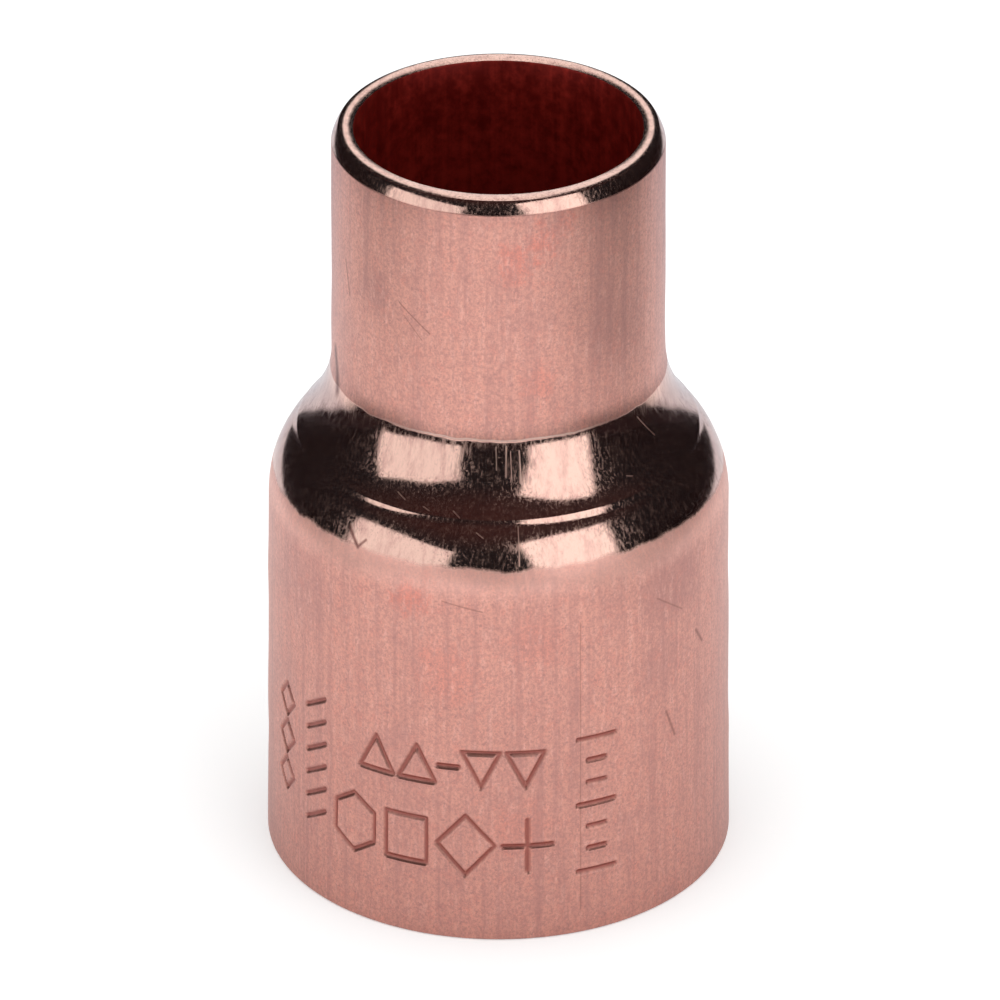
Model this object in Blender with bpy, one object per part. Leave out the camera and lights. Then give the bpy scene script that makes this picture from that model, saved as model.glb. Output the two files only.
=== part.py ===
"""Concentric reducer: a copper end-feed coupling that joins a 22 mm tube to a 15 mm tube.

The real fitting is one piece of copper tube. One end is swaged down, so the neck's wall is thicker
than the body's. Both ends are sized to a socket that a tube slides into and is soldered in.
The model is a single turned solid. Its origin is the centre of the large end's face, which is also
the bottom of its box, and +Z is the common axis of both sockets, towards the small end.
"""

import math

import bmesh
import bpy

MM = 0.001

# Tubes that the sockets take: outside diameters.
LARGE_TUBE = 22.0 * MM
SMALL_TUBE = 15.0 * MM

# Capillary gap between tube and socket, on the diameter.
LARGE_GAP = 0.10 * MM
SMALL_GAP = 0.08 * MM

# Walls at the two sockets.
LARGE_WALL = 0.95 * MM
SMALL_WALL = 1.18 * MM

# Straight length of each socket, from its mouth to where the tube stops.
LARGE_SOCKET_DEPTH = 17.25 * MM
SMALL_SOCKET_DEPTH = 10.80 * MM

# Step that stops the small tube: how far it stands in from the bore, and its length along the axis.
STOP_HEIGHT = 0.30 * MM
STOP_LENGTH = 0.25 * MM

# Shoulder between the two diameters: an outward bend, a short cone and an inward bend.
SHOULDER_SLOPE = math.radians(43.3)
SHOULDER_BEND = 4.40 * MM
NECK_BEND = 5.90 * MM

# Ends: the small end's outer edge is rolled over, and every other edge is only deburred.
LIP_WIDTH = 0.50 * MM
LIP_DROP = 0.65 * MM
BORE_CHAMFER = 0.15 * MM
MOUTH_CHAMFER = 0.20 * MM
BASE_ROUND = 0.12 * MM

# Facets.
SIDES = 72
BEND_STEPS = 6
LIP_STEPS = 4
BASE_STEPS = 2

COPPER = (0.72, 0.40, 0.32, 1.0)
COPPER_ROUGHNESS = 0.32


def arc(centre_r, centre_z, radius_r, radius_z, start, end, steps):
    """Points (r, z) of an ellipse's arc from angle start to angle end, both ends included."""
    angles = [start + (end - start) * step / steps for step in range(steps + 1)]
    return [
        (centre_r + radius_r * math.cos(angle), centre_z + radius_z * math.sin(angle))
        for angle in angles
    ]


def shoulder(low_radius, high_radius, low_z, low_bend, high_bend):
    """Points (r, z) up the side, from the wide straight stretch to the narrow one.

    The slope is eased where the two bends alone already take up the whole change of radius.
    """
    fall = low_radius - high_radius
    slope = min(SHOULDER_SLOPE, math.acos(max(0.0, 1 - fall / (low_bend + high_bend))))
    bends_fall = (low_bend + high_bend) * (1 - math.cos(slope))
    cone_height = (fall - bends_fall) / math.tan(slope)
    high_z = low_z + (low_bend + high_bend) * math.sin(slope) + cone_height
    lower = arc(low_radius - low_bend, low_z, low_bend, low_bend, 0, slope, BEND_STEPS)
    upper = arc(
        high_radius + high_bend,
        high_z,
        high_bend,
        high_bend,
        math.pi + slope,
        math.pi,
        BEND_STEPS,
    )
    return lower + upper


def wall_outline():
    """The wall's closed section as points (r, z), down the outside and then up the inside."""
    large_bore = (LARGE_TUBE + LARGE_GAP) / 2
    small_bore = (SMALL_TUBE + SMALL_GAP) / 2
    large_radius = large_bore + LARGE_WALL
    small_radius = small_bore + SMALL_WALL
    throat = small_bore - STOP_HEIGHT

    outer_shoulder = shoulder(
        large_radius, small_radius, LARGE_SOCKET_DEPTH, SHOULDER_BEND, NECK_BEND
    )
    inner_shoulder = shoulder(
        large_bore, throat, LARGE_SOCKET_DEPTH, SHOULDER_BEND - LARGE_WALL, NECK_BEND
    )
    stop_z = inner_shoulder[-1][1] + STOP_LENGTH
    top_z = stop_z + SMALL_SOCKET_DEPTH

    lip = arc(
        small_radius - LIP_WIDTH, top_z - LIP_DROP, LIP_WIDTH, LIP_DROP, math.pi / 2, 0, LIP_STEPS
    )
    base = arc(
        large_radius - BASE_ROUND, BASE_ROUND, BASE_ROUND, BASE_ROUND, 0, -math.pi / 2, BASE_STEPS
    )
    outside = lip + outer_shoulder[::-1] + base
    inside = [
        (large_bore + MOUTH_CHAMFER, 0),
        (large_bore, MOUTH_CHAMFER),
        *inner_shoulder,
        (throat, stop_z),
        (small_bore, stop_z),
        (small_bore, top_z - BORE_CHAMFER),
        (small_bore + BORE_CHAMFER, top_z),
    ]
    return outside + inside


def turned(name, outline):
    """An object whose closed outline, in the XZ plane, is swept once round Z."""
    mesh = bpy.data.meshes.new(name)
    loop = bmesh.new()
    corners = [loop.verts.new((radius, 0, z)) for radius, z in outline]
    for corner, following in zip(corners, corners[1:] + corners[:1]):
        loop.edges.new((corner, following))
    loop.to_mesh(mesh)
    loop.free()
    body = bpy.data.objects.new(name, mesh)
    bpy.context.scene.collection.objects.link(body)

    sweep = body.modifiers.new("sweep", "SCREW")
    sweep.axis = "Z"
    sweep.steps = SIDES
    sweep.render_steps = SIDES
    sweep.use_merge_vertices = True
    sweep.merge_threshold = 0.000001
    sweep.use_smooth_shade = True
    return body


def copper():
    """Bright drawn copper."""
    material = bpy.data.materials.new("copper")
    material.use_nodes = True
    shader = material.node_tree.nodes["Principled BSDF"]
    shader.inputs["Base Color"].default_value = COPPER
    shader.inputs["Metallic"].default_value = 1.0
    shader.inputs["Roughness"].default_value = COPPER_ROUGHNESS
    material.diffuse_color = COPPER
    return material


def main():
    for old in list(bpy.data.objects):
        bpy.data.objects.remove(old)
    body = turned("reducer_body", wall_outline())
    body.data.materials.append(copper())


main()
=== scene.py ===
"""The looks of the copper reducer: a finely turned, stamped body, its metal, and the studio.

Lengths are in metres. The body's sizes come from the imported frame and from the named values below,
which repeat the ones that its solid was made from. Angles round the axis are measured from the
front, which is -Y, and are positive towards +X. `along` is a distance round the large cylinder.
"""

import math

import bpy
import numpy as np
from mathutils import Matrix, Vector

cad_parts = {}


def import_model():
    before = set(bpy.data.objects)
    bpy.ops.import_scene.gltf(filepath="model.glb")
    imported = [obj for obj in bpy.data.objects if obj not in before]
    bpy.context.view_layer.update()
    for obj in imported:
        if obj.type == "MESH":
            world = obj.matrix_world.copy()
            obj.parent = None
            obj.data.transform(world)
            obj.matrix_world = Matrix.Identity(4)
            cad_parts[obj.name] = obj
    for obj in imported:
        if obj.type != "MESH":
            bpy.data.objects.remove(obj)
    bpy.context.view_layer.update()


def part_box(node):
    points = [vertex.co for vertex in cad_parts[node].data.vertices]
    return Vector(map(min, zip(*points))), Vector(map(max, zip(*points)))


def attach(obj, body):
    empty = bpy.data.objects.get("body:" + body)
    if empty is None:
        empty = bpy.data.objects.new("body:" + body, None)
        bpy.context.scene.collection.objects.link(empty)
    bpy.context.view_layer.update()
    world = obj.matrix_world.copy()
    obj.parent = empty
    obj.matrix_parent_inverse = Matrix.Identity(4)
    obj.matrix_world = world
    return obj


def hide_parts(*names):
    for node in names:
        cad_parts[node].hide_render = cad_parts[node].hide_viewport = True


MM = 0.001

# The wall's section, as the solid has it.
LARGE_BORE = 11.05 * MM
SMALL_BORE = 7.54 * MM
SMALL_RADIUS = 8.72 * MM
THROAT = 7.24 * MM
LARGE_SOCKET_DEPTH = 17.25 * MM
SMALL_SOCKET_DEPTH = 10.80 * MM
INNER_SLOPE = 43.3
INNER_NECK_BEND = 5.90 * MM
BORE_CHAMFER = 0.15 * MM
MOUTH_CHAMFER = 0.20 * MM
BASE_ROUND = 0.12 * MM

# The outer shoulder from below: bend radii, and the surface's lean from upright in degrees. The two
# forming dies met in its middle, where they left a hollow with a ridge over it.
SHOULDER_BEND = 4.45 * MM
SHOULDER_LEAN = 44
HOLLOW_BEND = 1.70 * MM
HOLLOW_LEAN = 31
RIDGE_BEND = 0.45 * MM
RIDGE_LEAN = 46
NECK_BEND = 5.75 * MM

# The small end's lip: a bevel that bulges a little, then a ring that dips either side of its crest.
LIP_LOW_BEND = 0.10 * MM
LIP_LEAN = 19
BEVEL_BEND = 2.20 * MM
BEVEL_LEAN = 37
LIP_TOP_BEND = 0.05 * MM
RING_LEAN = 81
RING_WIDTH = 0.22 * MM
CREST = 7.88 * MM
RING_DIP = 0.05 * MM

# Slow waves that forming left in the wall: size, waves round the axis, waves per metre up, start.
WAVES = (
    (0.016 * MM, 5, 160, 0.4),
    (0.0055 * MM, 9, -310, 2.1),
    (0.003 * MM, 17, 420, 4.0),
)

# Grid of the outer surface: the stamps need the fine part.
MARKS_LOW = 2.3 * MM
MARKS_HIGH = 10.7 * MM
MARKS_STEP = 0.068 * MM
FRONT_COLUMNS = ((-76, -42, 0.46), (-42, 34, 0.33), (34, 284, 2.5))
INNER_EVERY = 3

# Stamped strokes.
STROKE = 0.14 * MM
STROKE_DEPTH = 0.10 * MM
BURR_HEIGHT = 0.02 * MM

# Polished zones, between which the drawn surface is satin.
POLISH_LOW = 18.75 * MM
POLISH_HIGH = 23.85 * MM
LIP_POLISH = 35.41 * MM

# Camera, as a studio view camera stands: its back upright, its lens dropped towards the object.
CAMERA_AWAY = 0.590
CAMERA_HEIGHT = 0.307
AIM = Vector((0.00008, 0.0, 0.01655))
FRAME_WIDTH = 0.05208
SENSOR = 36.0


def bend(path, radius, start, end, steps):
    """Adds an arc to a path of points (r, z) that climbs while its lean turns from start to end."""
    begin_r, begin_z = path[-1]
    side = radius if end > start else -radius
    first = math.radians(start)
    for step in range(1, steps + 1):
        lean = math.radians(start + (end - start) * step / steps)
        path.append(
            (
                begin_r + side * (math.cos(lean) - math.cos(first)),
                begin_z + side * (math.sin(lean) - math.sin(first)),
            )
        )


def climb(path, length, lean, steps):
    """Adds a straight stretch of that length and lean to a path."""
    begin_r, begin_z = path[-1]
    for step in range(1, steps + 1):
        done = length * step / steps
        path.append(
            (
                begin_r - done * math.sin(math.radians(lean)),
                begin_z + done * math.cos(math.radians(lean)),
            )
        )


def rise(path, height, step):
    """Adds an upright stretch up to a height, in equal steps of about that length."""
    length = height - path[-1][1]
    climb(path, length, 0, max(1, round(length / step)))


def fall_of(radius, start, end):
    """How far a bend brings the wall in towards the axis."""
    return radius * abs(math.cos(math.radians(start)) - math.cos(math.radians(end)))


def outer_outline(radius, top):
    """Points up the outside, from the base's flat ring to the lip's."""
    path = [(radius - BASE_ROUND, 0)]
    bend(path, BASE_ROUND, -90, 0, 4)
    rise(path, MARKS_LOW, 0.5 * MM)
    rise(path, MARKS_HIGH, MARKS_STEP)
    rise(path, LARGE_SOCKET_DEPTH, 0.8 * MM)

    bends_fall = (
        fall_of(SHOULDER_BEND, 0, SHOULDER_LEAN)
        + fall_of(HOLLOW_BEND, SHOULDER_LEAN, HOLLOW_LEAN)
        + fall_of(RIDGE_BEND, HOLLOW_LEAN, RIDGE_LEAN)
        + fall_of(NECK_BEND, RIDGE_LEAN, 0)
    )
    cone = (radius - SMALL_RADIUS - bends_fall) / math.sin(math.radians(SHOULDER_LEAN))
    bend(path, SHOULDER_BEND, 0, SHOULDER_LEAN, 16)
    climb(path, cone, SHOULDER_LEAN, 1)
    bend(path, HOLLOW_BEND, SHOULDER_LEAN, HOLLOW_LEAN, 6)
    bend(path, RIDGE_BEND, HOLLOW_LEAN, RIDGE_LEAN, 6)
    bend(path, NECK_BEND, RIDGE_LEAN, 0, 18)

    lip = [(0, 0)]
    bend(lip, LIP_LOW_BEND, 0, LIP_LEAN, 3)
    bend(lip, BEVEL_BEND, LIP_LEAN, BEVEL_LEAN, 5)
    bend(lip, LIP_TOP_BEND, BEVEL_LEAN, RING_LEAN, 4)
    climb(lip, RING_WIDTH, RING_LEAN, 2)
    rise(path, top - lip[-1][1], 1.2 * MM)
    begin_r, begin_z = path[-1]
    return path + [(begin_r + r, begin_z + z) for r, z in lip[1:]]


def inner_outline(top, wall):
    """Points down the inside, from the lip's crest to the base. The first stretch is the lip's."""
    shoulder_bend = SHOULDER_BEND - wall
    bends_fall = fall_of(shoulder_bend, 0, INNER_SLOPE) + fall_of(INNER_NECK_BEND, 0, INNER_SLOPE)
    cone = (LARGE_BORE - THROAT - bends_fall) / math.sin(math.radians(INNER_SLOPE))
    path = [(LARGE_BORE + MOUTH_CHAMFER, 0), (LARGE_BORE, MOUTH_CHAMFER)]
    rise(path, LARGE_SOCKET_DEPTH, 2 * MM)
    bend(path, shoulder_bend, 0, INNER_SLOPE, 10)
    climb(path, cone, INNER_SLOPE, 2)
    bend(path, INNER_NECK_BEND, INNER_SLOPE, 0, 10)
    rise(path, top - SMALL_SOCKET_DEPTH, 0.3 * MM)
    path.append((SMALL_BORE, path[-1][1]))
    rise(path, top - BORE_CHAMFER, 2 * MM)
    return [*path, (SMALL_BORE + 0.05 * MM, top - RING_DIP), (CREST, top)][::-1]


def columns():
    """Angles round the axis, close together where the stamps are."""
    angles = []
    for start, end, step in FRONT_COLUMNS:
        count = round((end - start) / step / INNER_EVERY) * INNER_EVERY
        angles += [math.radians(start + (end - start) * i / count) for i in range(count)]
    return np.array(angles)


def bar(u, v, length, turn=0.0):
    """One straight stroke centred on (u, v), in millimetres, turned from upright by degrees."""
    du = math.sin(math.radians(turn)) * length / 2
    dv = math.cos(math.radians(turn)) * length / 2
    return [[(u - du, v - dv), (u + du, v + dv)]]


def outline_of(u, v, radius, sides, turn):
    """A regular outline of some sides, as one closed stroke."""
    points = [
        (
            u + radius * math.sin(math.radians(turn) + math.tau * i / sides),
            v + radius * math.cos(math.radians(turn) + math.tau * i / sides),
        )
        for i in range(sides + 1)
    ]
    return [points]


def strokes():
    """Every stamped stroke as a list of points (along, height), in millimetres."""
    found = []
    found += outline_of(-6.6, 8.4, 1.15, 3, 0) + outline_of(-4.3, 8.4, 1.15, 3, 0)
    found += bar(-2.6, 8.7, 1.1, 90)
    found += outline_of(-0.9, 8.9, 1.15, 3, 60) + outline_of(1.4, 8.9, 1.15, 3, 60)
    found += outline_of(-8.0, 4.75, 1.45, 6, 0)
    found += outline_of(-4.9, 4.75, 1.6, 4, 45)
    found += outline_of(-1.7, 4.75, 1.5, 4, 0)
    found += bar(1.5, 4.75, 2.6) + bar(1.5, 4.75, 2.6, 90)
    for index in range(7):
        found += bar(5.2, 3.1 + 1.12 * index, 1.0 if index % 3 else 2.1, 90)
    for index in range(6):
        found += bar(-10.8, 4.1 + 1.15 * index, 1.7, 62)
    for index in range(3):
        found += outline_of(-13.7, 5.0 + 1.9 * index, 0.8, 4, 0)
    return found


def groove(distance):
    """How far the surface goes in at a distance from a stroke's middle, with the burr beside it."""
    cut = np.clip(1 - distance / STROKE, 0, 1)
    burr = np.exp(-(((distance - 1.45 * STROKE) / (0.45 * STROKE)) ** 2))
    return STROKE_DEPTH * cut * (2 - cut) - BURR_HEIGHT * burr


def stamped_depth(along, height):
    """Depth of the stamps at each point of the large cylinder's unrolled surface."""
    nearest = np.full(along.shape, 1.0)
    for stroke in strokes():
        points = np.array(stroke) * MM
        for start, end in zip(points[:-1], points[1:]):
            run = end - start
            share = ((along - start[0]) * run[0] + (height - start[1]) * run[1]) / (run @ run)
            share = np.clip(share, 0, 1)
            gap = np.hypot(along - start[0] - share * run[0], height - start[1] - share * run[1])
            nearest = np.minimum(nearest, gap)
    return groove(nearest)


def waves(turn, height, top):
    """How far the wall stands out at each point: nothing at the ends, which were sized."""
    above_base = np.clip((height - 1 * MM) / (4 * MM), 0, 1)
    below_lip = np.clip((top - 2 * MM - height) / (6 * MM), 0, 1)
    total = np.zeros(height.shape)
    for size, around, up, start in WAVES:
        total += size * np.cos(around * turn + up * math.tau * height + start)
    return above_base * below_lip * (total - sum(wave[0] for wave in WAVES))


def build_body(high):
    """The fitting as one closed mesh: a fine outer skin, a plainer inner one and two flat rings."""
    outer = np.array(outer_outline(high.x, high.z))
    inner = np.array(inner_outline(high.z, high.x - LARGE_BORE))
    turn = columns()
    radius = np.repeat(outer[:, :1], len(turn), axis=1)
    height = np.repeat(outer[:, 1:], len(turn), axis=1)
    along = np.broadcast_to(turn * high.x, radius.shape)
    on_wall = (height > MARKS_LOW) & (height < MARKS_HIGH)
    depth = np.where(on_wall, stamped_depth(along, height), 0)
    radius = radius - depth + waves(turn, height, high.z)
    outer_points = np.stack(
        [radius * np.sin(turn), -radius * np.cos(turn), height], axis=-1
    ).reshape(-1, 3)

    inner_turn = turn[::INNER_EVERY]
    inner_points = np.stack(
        [
            np.outer(inner[:, 0], np.sin(inner_turn)),
            -np.outer(inner[:, 0], np.cos(inner_turn)),
            np.repeat(inner[:, 1:], len(inner_turn), axis=1),
        ],
        axis=-1,
    ).reshape(-1, 3)

    faces = skin(len(outer), len(turn), 0)
    faces += skin(len(inner), len(inner_turn), len(outer_points))
    faces += ring(len(turn), (len(outer) - 1) * len(turn), len(outer_points), up=True)
    last_inner = len(outer_points) + (len(inner) - 1) * len(inner_turn)
    faces += ring(len(turn), 0, last_inner, up=False)

    mesh = bpy.data.meshes.new("copper_reducer")
    mesh.from_pydata(np.concatenate([outer_points, inner_points]).tolist(), [], faces)
    stamped = mesh.attributes.new("stamped", "FLOAT", "POINT")
    share = np.zeros(len(mesh.vertices), np.float32)
    share[: depth.size] = np.clip(depth / STROKE_DEPTH, 0, 1).ravel()
    stamped.data.foreach_set("value", share)
    inside = np.zeros(len(faces), np.int32)
    first_inner = (len(outer) - 1) * len(turn)
    inside[first_inner + len(inner_turn) : first_inner + (len(inner) - 1) * len(inner_turn)] = 1
    mesh.polygons.foreach_set("material_index", inside)
    mesh.shade_smooth()
    mesh.set_sharp_from_angle(angle=math.radians(40))
    body = bpy.data.objects.new("copper_reducer", mesh)
    bpy.context.scene.collection.objects.link(body)
    return body


def skin(rows, across, first):
    """Faces of a closed grid: each row of vertices goes once round, and rows follow the outline."""
    faces = []
    for row in range(rows - 1):
        for column in range(across):
            following = (column + 1) % across
            a = first + row * across
            b = a + across
            faces.append((a + column, a + following, b + following, b + column))
    return faces


def ring(across, outer_first, inner_first, up):
    """Faces of a ring between the outer skin's edge and the inner one's, with fewer columns."""
    faces = []
    for column in range(across // INNER_EVERY):
        start = column * INNER_EVERY
        outside = [outer_first + (start + i) % across for i in range(INNER_EVERY + 1)]
        following = (column + 1) % (across // INNER_EVERY)
        face = [*outside, inner_first + following, inner_first + column]
        faces.append(tuple(face if up else face[::-1]))
    return faces


class Nodes:
    """A short way to write a node tree."""

    def __init__(self, tree):
        self.tree = tree

    def add(self, kind, **settings):
        node = self.tree.nodes.new(kind)
        for name, value in settings.items():
            setattr(node, name, value)
        return node

    def feed(self, socket, value):
        if isinstance(value, bpy.types.NodeSocket):
            self.tree.links.new(value, socket)
        else:
            socket.default_value = value

    def math(self, operation, first, second=0.0, clamp=False):
        node = self.add("ShaderNodeMath", operation=operation, use_clamp=clamp)
        self.feed(node.inputs[0], first)
        self.feed(node.inputs[1], second)
        return node.outputs[0]

    def vector(self, operation, first, second):
        node = self.add("ShaderNodeVectorMath", operation=operation)
        self.feed(node.inputs[0], first)
        self.feed(node.inputs[1], second)
        scalar = operation in ("DISTANCE", "DOT_PRODUCT", "LENGTH")
        return node.outputs["Value" if scalar else "Vector"]

    def noise(self, place, scale, detail=2.0, rough=0.5):
        node = self.add("ShaderNodeTexNoise")
        self.feed(node.inputs["Vector"], place)
        node.inputs["Scale"].default_value = scale
        node.inputs["Detail"].default_value = detail
        node.inputs["Roughness"].default_value = rough
        return node.outputs["Fac"]

    def span(self, value, low, high, to_low=0.0, to_high=1.0):
        node = self.add("ShaderNodeMapRange", interpolation_type="SMOOTHSTEP")
        self.feed(node.inputs["Value"], value)
        node.inputs["From Min"].default_value = low
        node.inputs["From Max"].default_value = high
        node.inputs["To Min"].default_value = to_low
        node.inputs["To Max"].default_value = to_high
        return node.outputs["Result"]

    def band(self, value, low, high, soft_low, soft_high):
        """1 where a value is between two others and 0 outside, with edges of those half widths."""
        begun = self.span(value, low - soft_low, low + soft_low)
        ended = self.span(value, high - soft_high, high + soft_high, 1, 0)
        return self.math("MULTIPLY", begun, ended)

    def mix(self, share, first, second):
        node = self.add("ShaderNodeMix", data_type="RGBA")
        self.feed(node.inputs[0], share)
        self.feed(node.inputs[6], first)
        self.feed(node.inputs[7], second)
        return node.outputs[2]


# The metal's colours, as linear light.
SATIN = (0.82, 0.405, 0.325, 1)
# The next colour is lighter copper for painted light: the painted glints and the lightened band
# under the lower polished edge.
PAINTED_LIGHT_COPPER = (1.0, 0.57, 0.48, 1)
POLISHED = (0.93, 0.60, 0.50, 1)
STAIN = (0.84, 0.30, 0.23, 1)
DARKER_COPPER = (0.50, 0.25, 0.23, 1)
SCRATCHED = (0.20, 0.07, 0.06, 1)
STAMPED = (0.34, 0.095, 0.075, 1)
# The next colour is a painted highlight: a thin bright line just above the upper polished edge, on
# the front only.
PAINTED_HIGHLIGHT = (1.0, 0.75, 0.65, 1)
# The bore's two colours are painted shade: a dark red that stands in for the shade and the many
# reflections inside the bore.
BORE_PAINTED_SHADE = (0.17, 0.006, 0.004, 1)
BORE_PAINTED_SHADE_LIGHT = (0.44, 0.028, 0.018, 1)

# Unrolled millimetres for each degree round the axis, near enough for both cylinders.
ARC = 0.19

# Reddish handling stains: angle from the front in degrees, height and reach in millimetres,
# strength.
STAINS = (
    (14, 33.9, 1.1, 0.9),
    (5, 32.8, 1.2, 0.8),
    (24, 34.9, 0.8, 0.7),
    (-21, 17.1, 1.1, 0.8),
    (-13, 13.4, 1.7, 0.4),
    (9, 15.0, 1.4, 0.35),
    (14, 26.6, 1.2, 0.5),
    (6, 5.6, 1.6, 0.35),
    (150, 9.0, 2.5, 0.6),
    (-140, 30.0, 2.0, 0.6),
)

# Darker purple-grey patches, in the same numbers.
DARKER_PATCHES = (
    (48, 16.4, 2.6, 0.55),
    (-58, 15.6, 2.4, 0.45),
    (44, 12.4, 1.8, 0.4),
    (46, 28.5, 3.2, 0.3),
    (-46, 30.2, 1.2, 0.5),
    (120, 17.0, 3.0, 0.5),
    (-120, 14.0, 3.0, 0.5),
)

# Scratches: angle and height of one end, the same for the other, half width, strength.
SCRATCHES = (
    (20.5, 1.2, 20.5, 15.8, 0.025, 0.35),
    (-65, 30.8, -62, 29.2, 0.06, 0.6),
    (-36, 30.2, -24, 29.0, 0.035, 0.5),
    (-34, 29.6, -27, 28.6, 0.03, 0.4),
    (-76, 25.3, -71, 23.7, 0.30, 0.95),
    (-42, 19.4, -38, 18.7, 0.08, 0.9),
    (-38, 18.7, -36, 19.1, 0.06, 0.8),
    (46, 9.8, 49, 8.4, 0.06, 0.55),
    (43, 15.8, 52, 14.6, 0.035, 0.4),
    (58, 13.0, 61, 12.2, 0.07, 0.6),
    (-14, 17.1, -4, 16.7, 0.03, 0.4),
    (118, 6.0, 131, 12.5, 0.05, 0.5),
    (-150, 12.0, -133, 8.5, 0.05, 0.5),
    (150, 29.0, 166, 31.0, 0.04, 0.5),
)


# Bright rubs across the burnished shoulder, in the same numbers.
RUBS = (
    (5.3, 18.9, 5.4, 20.4, 0.020, 0.7),
    (4.2, 22.2, 4.0, 23.4, 0.025, 0.6),
    (2.4, 22.3, 2.6, 23.6, 0.06, 0.40),
    (-0.6, 22.6, -0.8, 23.6, 0.05, 0.34),
    (7.2, 22.0, 6.9, 23.4, 0.05, 0.36),
    (-31, 21.2, -28, 21.0, 0.020, 0.5),
    (-22, 20.9, -20, 20.8, 0.022, 0.5),
    (-13, 20.9, -11, 20.7, 0.025, 0.5),
    (-6, 20.2, -4, 20.0, 0.018, 0.5),
    (42, 21.4, 44, 21.3, 0.020, 0.5),
    (54, 23.4, 60, 22.2, 0.030, 0.5),
    (140, 23.0, 152, 20.5, 0.025, 0.5),
)


def patches(n, unrolled, listed, ragged):
    """How strong the listed patches are at each point, from 0 to 1."""
    total = 0.0
    for angle, height, reach, strength in listed:
        far = n.vector("DISTANCE", unrolled, (ARC * angle, height, 0))
        near = n.span(n.math("ADD", far, ragged), 0.3 * reach, 1.3 * reach, strength, 0)
        total = n.math("MAXIMUM", near, total)
    return total


def scratches(n, unrolled, listed):
    """How scratched each point is, from 0 to 1: its distance to each listed line decides."""
    total = 0.0
    for angle_a, height_a, angle_b, height_b, half_width, strength in listed:
        begin = Vector((ARC * angle_a, height_a, 0))
        run = Vector((ARC * angle_b, height_b, 0)) - begin
        away = n.vector("SUBTRACT", unrolled, begin)
        along_run = n.vector("DOT_PRODUCT", away, run)
        share = n.math("MULTIPLY", along_run, 1 / run.length_squared, True)
        on_line = n.add("ShaderNodeVectorMath", operation="SCALE")
        on_line.inputs[0].default_value = run
        n.feed(on_line.inputs["Scale"], share)
        far = n.vector("DISTANCE", away, on_line.outputs[0])
        total = n.math("MAXIMUM", n.span(far, 0, 2 * half_width, strength, 0), total)
    return total


def finish_shader(n, shader, colour, rough, metallic, relief, strength, coat):
    """Metal with fine lines along the axis, which spread its highlights, and a thin dull film."""
    n.feed(shader.inputs["Base Color"], colour)
    n.feed(shader.inputs["Roughness"], rough)
    shader.inputs["Anisotropic"].default_value = 0.5
    shader.inputs["Coat Weight"].default_value = coat
    shader.inputs["Coat Roughness"].default_value = 0.35
    n.feed(shader.inputs["Metallic"], metallic)
    tangent = n.add("ShaderNodeTangent", direction_type="RADIAL", axis="Z")
    n.feed(shader.inputs["Tangent"], tangent.outputs[0])
    bump = n.add("ShaderNodeBump")
    bump.inputs["Strength"].default_value = strength
    bump.inputs["Distance"].default_value = 0.00002
    n.feed(bump.inputs["Height"], relief)
    n.feed(shader.inputs["Normal"], bump.outputs["Normal"])


def new_material(name):
    """A material, its node writer, its shader and each point's place in millimetres."""
    material = bpy.data.materials.new(name)
    material.use_nodes = True
    n = Nodes(material.node_tree)
    place = n.vector("MULTIPLY", n.add("ShaderNodeTexCoord").outputs["Object"], (1000,) * 3)
    return material, n, material.node_tree.nodes["Principled BSDF"], place


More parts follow.
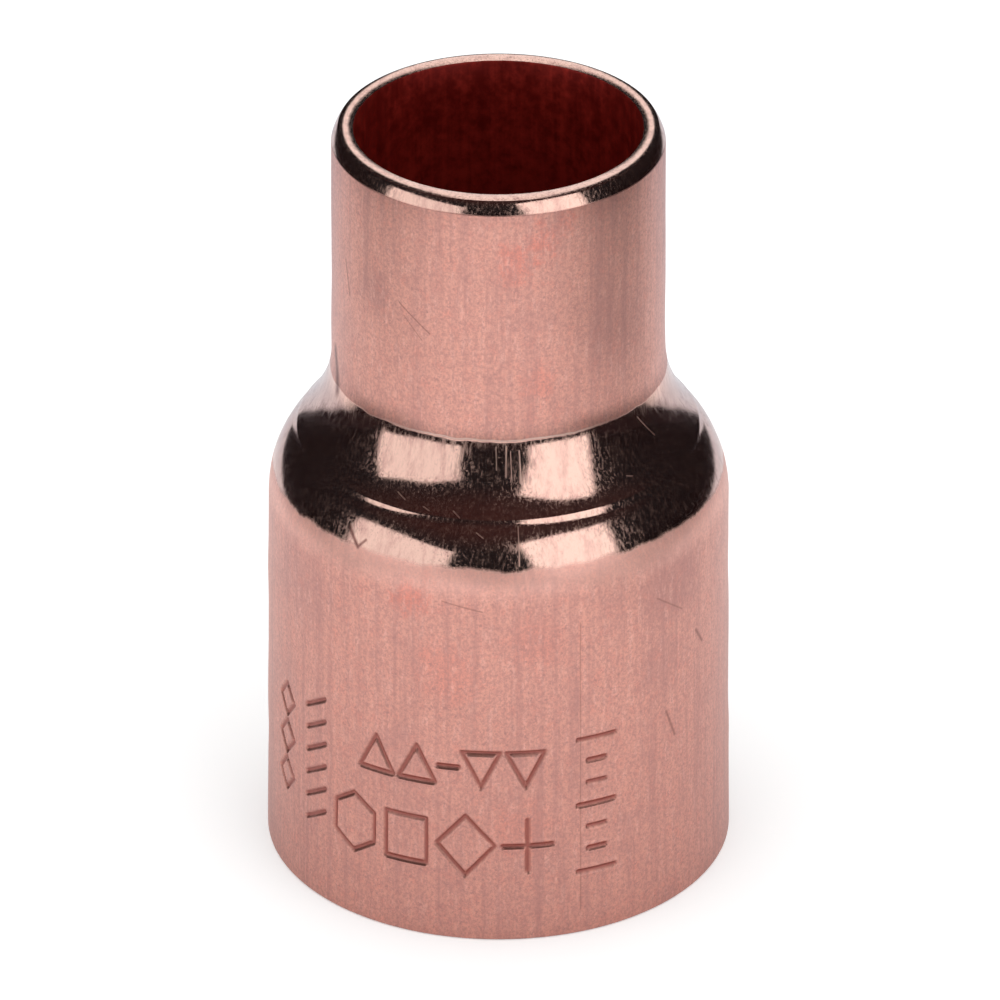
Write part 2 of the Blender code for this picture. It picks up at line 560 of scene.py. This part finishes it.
def copper():
    """Drawn copper: satin with fine lines along the axis, and burnished where the dies rubbed."""
    material, n, shader, place = new_material("copper")
    split = n.add("ShaderNodeSeparateXYZ")
    n.feed(split.inputs[0], place)
    z = split.outputs["Z"]
    turn = n.math("ARCTAN2", split.outputs["X"], n.math("MULTIPLY", split.outputs["Y"], -1))
    join = n.add("ShaderNodeCombineXYZ")
    n.feed(join.inputs["X"], n.math("MULTIPLY", turn, math.degrees(ARC)))
    n.feed(join.inputs["Y"], z)
    unrolled = join.outputs[0]

    drawn = n.vector("MULTIPLY", place, (1, 1, 0.04))
    lines = n.noise(drawn, 1.9, 4, 0.7)
    fine_lines = n.noise(drawn, 7.0, 2, 0.6)
    grain = n.noise(place, 6.5, 4, 0.8)
    clouds = n.noise(place, 0.45, 4, 0.7)
    specks = n.noise(place, 5.0, 2, 0.6)
    blush = n.noise(place, 1.5, 5, 0.75)
    glints = n.noise(n.vector("MULTIPLY", place, (1, 1, 0.3)), 3.2, 4, 0.75)
    ragged = n.math("MULTIPLY", n.math("SUBTRACT", n.noise(place, 1.1, 4, 0.75), 0.5), 4.0)

    wander = n.math("SUBTRACT", n.noise(place, 0.8, 3), 0.5)
    low, high, lip = (h / MM for h in (POLISH_LOW, POLISH_HIGH, LIP_POLISH))
    low_edge = n.math("ADD", z, n.math("MULTIPLY", wander, 0.45))
    high_edge = n.math("ADD", z, n.math("MULTIPLY", wander, 0.25))
    over_low_edge = n.span(low_edge, low - 0.18, low + 0.12)
    under_high_edge = n.span(high_edge, high - 0.05, high + 0.05, 1, 0)
    # Painted light: a band just under the lower polished edge, which reflects the dark room, is
    # lightened in colour and made less metallic.
    brightened_band = n.math("SUBTRACT", n.span(low_edge, low - 1.9, low - 0.4), over_low_edge)
    polished = n.math("MULTIPLY", over_low_edge, under_high_edge)
    polished = n.math("MAXIMUM", polished, n.span(z, lip - 0.03, lip + 0.05))
    # Painted highlight: a thin bright line just above the upper polished edge, kept to the front.
    painted_highlight_line = n.band(high_edge, high + 0.03, high + 0.09, 0.03, 0.03)
    in_front = n.span(n.math("ABSOLUTE", turn), 0.45, 0.8, 0.8, 0)
    painted_highlight_line = n.math("MULTIPLY", painted_highlight_line, in_front)

    stamped = n.add("ShaderNodeAttribute", attribute_name="stamped").outputs["Fac"]
    satin = n.mix(patches(n, unrolled, STAINS, ragged), SATIN, STAIN)
    satin = n.mix(patches(n, unrolled, DARKER_PATCHES, ragged), satin, DARKER_COPPER)
    satin = n.mix(n.span(blush, 0.48, 0.68, 0.0, 0.30), satin, STAIN)
    # Painted glints: lighter streaks of copper mixed into the satin.
    satin = n.mix(n.span(glints, 0.50, 0.68, 0.0, 0.45), satin, PAINTED_LIGHT_COPPER)
    satin = n.mix(n.span(grain, 0.38, 0.64, 0.0, 0.60), satin, DARKER_COPPER)
    satin = n.mix(n.span(lines, 0.42, 0.72, 0.0, 0.50), satin, DARKER_COPPER)
    satin = n.mix(n.span(clouds, 0.5, 0.75, 0.0, 0.4), satin, DARKER_COPPER)
    satin = n.mix(n.span(specks, 0.61, 0.70, 0.0, 0.6), satin, DARKER_COPPER)
    # Darker inside the stamped strokes, in step with their depth.
    satin = n.mix(n.math("MULTIPLY", stamped, 0.9), satin, STAMPED)
    # Painted light: the band under the lower polished edge, lightened.
    satin = n.mix(n.math("MULTIPLY", brightened_band, 0.35), satin, PAINTED_LIGHT_COPPER)
    # The painted highlight line, mixed in.
    satin = n.mix(painted_highlight_line, satin, PAINTED_HIGHLIGHT)
    burnished = n.mix(n.span(lines, 0.40, 0.72, 0.0, 0.5), POLISHED, DARKER_COPPER)
    colour = n.mix(polished, satin, burnished)
    colour = n.mix(scratches(n, unrolled, SCRATCHES), colour, SCRATCHED)

    satin_rough = n.span(grain, 0.25, 0.75, 0.30, 0.44)
    pits = n.span(n.noise(place, 7.5, 2, 0.7), 0.52, 0.70, 0.0, 0.27)
    polished_rough = n.math("MAXIMUM", n.span(fine_lines, 0.42, 0.72, 0.06, 0.24), pits)
    polished_rough = n.math("MAXIMUM", polished_rough, scratches(n, unrolled, RUBS))
    rough = n.add("ShaderNodeMix", data_type="FLOAT")
    n.feed(rough.inputs[0], polished)
    n.feed(rough.inputs[2], satin_rough)
    n.feed(rough.inputs[3], polished_rough)

    relief = n.math("ADD", n.math("MULTIPLY", fine_lines, 0.6), n.math("MULTIPLY", grain, 0.6))
    relief = n.math("MULTIPLY", relief, n.span(polished, 0, 1, 1.0, 0.3))
    # The same painted-light band, less metallic.
    metallic = n.span(brightened_band, 0, 1, 1.0, 0.55)
    finish_shader(n, shader, colour, rough.outputs[0], metallic, relief, 0.35, coat=0.3)
    return material


def inner_copper():
    """The bore's copper with painted shade: a dark red that stands in for the shade in the bore,
    lighter lower down, with the same lines along the axis.
    """
    material, n, shader, place = new_material("inner_copper")
    drawn = n.vector("MULTIPLY", place, (1, 1, 0.04))
    lines = n.noise(drawn, 1.9, 3, 0.65)
    grain = n.noise(place, 1.6, 5, 0.7)
    mottled = n.math("ADD", n.math("MULTIPLY", lines, 0.35), n.math("MULTIPLY", grain, 0.65))
    split = n.add("ShaderNodeSeparateXYZ")
    n.feed(split.inputs[0], place)
    # Painted shade by height: the bore gets lighter from 36 mm down to 28 mm.
    depth = n.span(split.outputs["Z"], 28, 36, 0.10, -0.06)
    colour = n.mix(n.span(n.math("ADD", mottled, depth), 0.34, 0.70), BORE_PAINTED_SHADE, BORE_PAINTED_SHADE_LIGHT)
    rough = n.span(grain, 0.25, 0.75, 0.34, 0.5)
    finish_shader(n, shader, colour, rough, 0.7, mottled, 0.3, coat=0.0)
    return material


# The studio: what the metal reflects, the plain light on everything, and the soft boxes as a name,
# azimuth and elevation in degrees, distance, width, height and radiance.
WHITE = (1, 1, 1, 1)
SOFT_LIGHT = (0.95, 0.95, 0.95, 1)
DARK_ROOM = (0.006, 0.0012, 0.0012, 1)
ROOM_CEILING = (0.036, 0.012, 0.010, 1)
TABLE = (0.9, 0.9, 0.9, 1)
# The next colour is a painted shadow on the table near the object, seen in reflections.
TABLE_PAINTED_SHADOW = (0.80, 0.77, 0.77, 1)
TABLE_BEHIND = (0.66, 0.70, 0.76, 1)
TABLE_DARK = (0.012, 0.004, 0.004, 1)
TABLE_GLOW = 0.25
SOFT_BOXES = (
    ("soft_box_left", -52, 10, 0.5, 0.50, 0.44, 0.93),
    ("soft_box_right", 39, 17, 0.5, 0.38, 0.55, 1.22),
)


def panel(name, azimuth, elevation, away, width, height, radiance):
    """A soft box that faces the object from a direction: azimuth from the front, towards +X."""
    light = bpy.data.lights.new(name, "AREA")
    light.shape = "RECTANGLE"
    light.size = width
    light.size_y = height
    light.energy = radiance * math.pi * width * height
    lamp = bpy.data.objects.new(name, light)
    a, e = math.radians(azimuth), math.radians(elevation)
    back = Vector((math.sin(a) * math.cos(e), -math.cos(a) * math.cos(e), math.sin(e)))
    lamp.location = Vector((0, 0, 0.02)) + back * away
    lamp.rotation_euler = back.to_track_quat("Z", "Y").to_euler()
    lamp.visible_camera = False
    bpy.context.scene.collection.objects.link(lamp)
    return lamp


def world():
    """White to the camera; in reflections a dark room with a white backdrop behind the object."""
    made = bpy.data.worlds.new("studio")
    bpy.context.scene.world = made
    made.use_nodes = True
    n = Nodes(made.node_tree)
    background = made.node_tree.nodes["Background"]
    direction = n.add("ShaderNodeTexCoord").outputs["Generated"]
    split = n.add("ShaderNodeSeparateXYZ")
    n.feed(split.inputs[0], direction)
    x, y, z = (split.outputs[axis] for axis in "XYZ")
    middle = n.span(n.math("ABSOLUTE", x), 0.045, 0.085, 1, 0)
    raised = n.math("MULTIPLY", n.span(y, 0.55, 0.65), n.span(z, 0.10, 0.16))
    behind = n.math("MULTIPLY", middle, raised)
    room = n.mix(n.span(z, 0.5, 0.9), DARK_ROOM, ROOM_CEILING)
    room = n.mix(behind, room, WHITE)
    rays = n.add("ShaderNodeLightPath")
    lit = n.mix(rays.outputs["Is Glossy Ray"], SOFT_LIGHT, room)
    shown = n.mix(rays.outputs["Is Camera Ray"], lit, WHITE)
    n.feed(background.inputs["Color"], shown)


def floor():
    """A white table top that keeps a soft shadow. In reflections it is a strip, dark all round, with
    a painted shadow round the object.
    """
    mesh = bpy.data.meshes.new("table_top")
    reach = 3.0
    corners = [(-reach, -reach, 0), (reach, -reach, 0), (reach, reach, 0), (-reach, reach, 0)]
    mesh.from_pydata(corners, [], [(0, 1, 2, 3)])
    top = bpy.data.objects.new("table_top", mesh)
    top.location.z = -0.00002
    bpy.context.scene.collection.objects.link(top)
    material = bpy.data.materials.new("white_table")
    material.use_nodes = True
    n = Nodes(material.node_tree)
    tree = material.node_tree
    tree.nodes.remove(tree.nodes["Principled BSDF"])
    rays = n.add("ShaderNodeLightPath")
    place = n.add("ShaderNodeTexCoord").outputs["Object"]
    split = n.add("ShaderNodeSeparateXYZ")
    n.feed(split.inputs[0], place)
    x, y = split.outputs["X"], split.outputs["Y"]

    off_middle = n.math("ABSOLUTE", n.math("ADD", x, 0.008))
    aside = n.math("SUBTRACT", off_middle, n.span(y, 0.02, 0.06, 0, 0.04))
    far_in_front = n.span(y, -0.20, -0.12, 1, 0)
    dark_share = n.math("MAXIMUM", n.span(aside, 0.045, 0.080, 0, 0.42), far_in_front)
    dark_share = n.math("MAXIMUM", dark_share, n.span(aside, 0.075, 0.10))
    # In reflections only: a painted shadow on the table round the object.
    near = n.span(n.vector("LENGTH", place, (0, 0, 0)), 0.012, 0.07)
    seen = n.mix(near, TABLE_PAINTED_SHADOW, WHITE)
    seen = n.mix(n.span(y, 0.03, 0.07), seen, TABLE_BEHIND)
    seen = n.mix(dark_share, seen, TABLE_DARK)
    diffuse = n.add("ShaderNodeBsdfDiffuse")
    n.feed(diffuse.inputs["Color"], n.mix(rays.outputs["Is Glossy Ray"], TABLE, seen))
    glow = n.add("ShaderNodeEmission")
    shown = n.math("MULTIPLY", rays.outputs["Is Camera Ray"], TABLE_GLOW)
    n.feed(glow.inputs["Strength"], shown)
    both = n.add("ShaderNodeAddShader")
    n.feed(both.inputs[0], diffuse.outputs[0])
    n.feed(both.inputs[1], glow.outputs[0])
    n.feed(tree.nodes["Material Output"].inputs["Surface"], both.outputs[0])
    mesh.materials.append(material)


def camera():
    """A long lens from above. Its image plane is upright, so upright lines stay parallel."""
    data = bpy.data.cameras.new("camera")
    shot = bpy.data.objects.new("camera", data)
    bpy.context.scene.collection.objects.link(shot)
    bpy.context.scene.camera = shot
    place = Vector((AIM.x, -CAMERA_AWAY, CAMERA_HEIGHT))
    away = place - AIM
    data.sensor_width = SENSOR
    data.lens = SENSOR * away.length / FRAME_WIDTH
    stand = bpy.data.objects.new("camera_stand", None)
    bpy.context.scene.collection.objects.link(stand)
    basis = Matrix(((1, 0, 0), (0, 0, 1), away.normalized())).transposed().to_4x4()
    basis.translation = place
    shot.parent = stand
    shot.matrix_parent_inverse = basis
    data.clip_start = 0.01
    data.clip_end = 20


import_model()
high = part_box("reducer_body")[1]

camera()
body = build_body(high)
body.data.materials.append(copper())
body.data.materials.append(inner_copper())
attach(body, "root")
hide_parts("reducer_body")

world()
floor()
for soft_box in SOFT_BOXES:
    panel(*soft_box)
bpy.context.scene.view_settings.view_transform = "Standard"
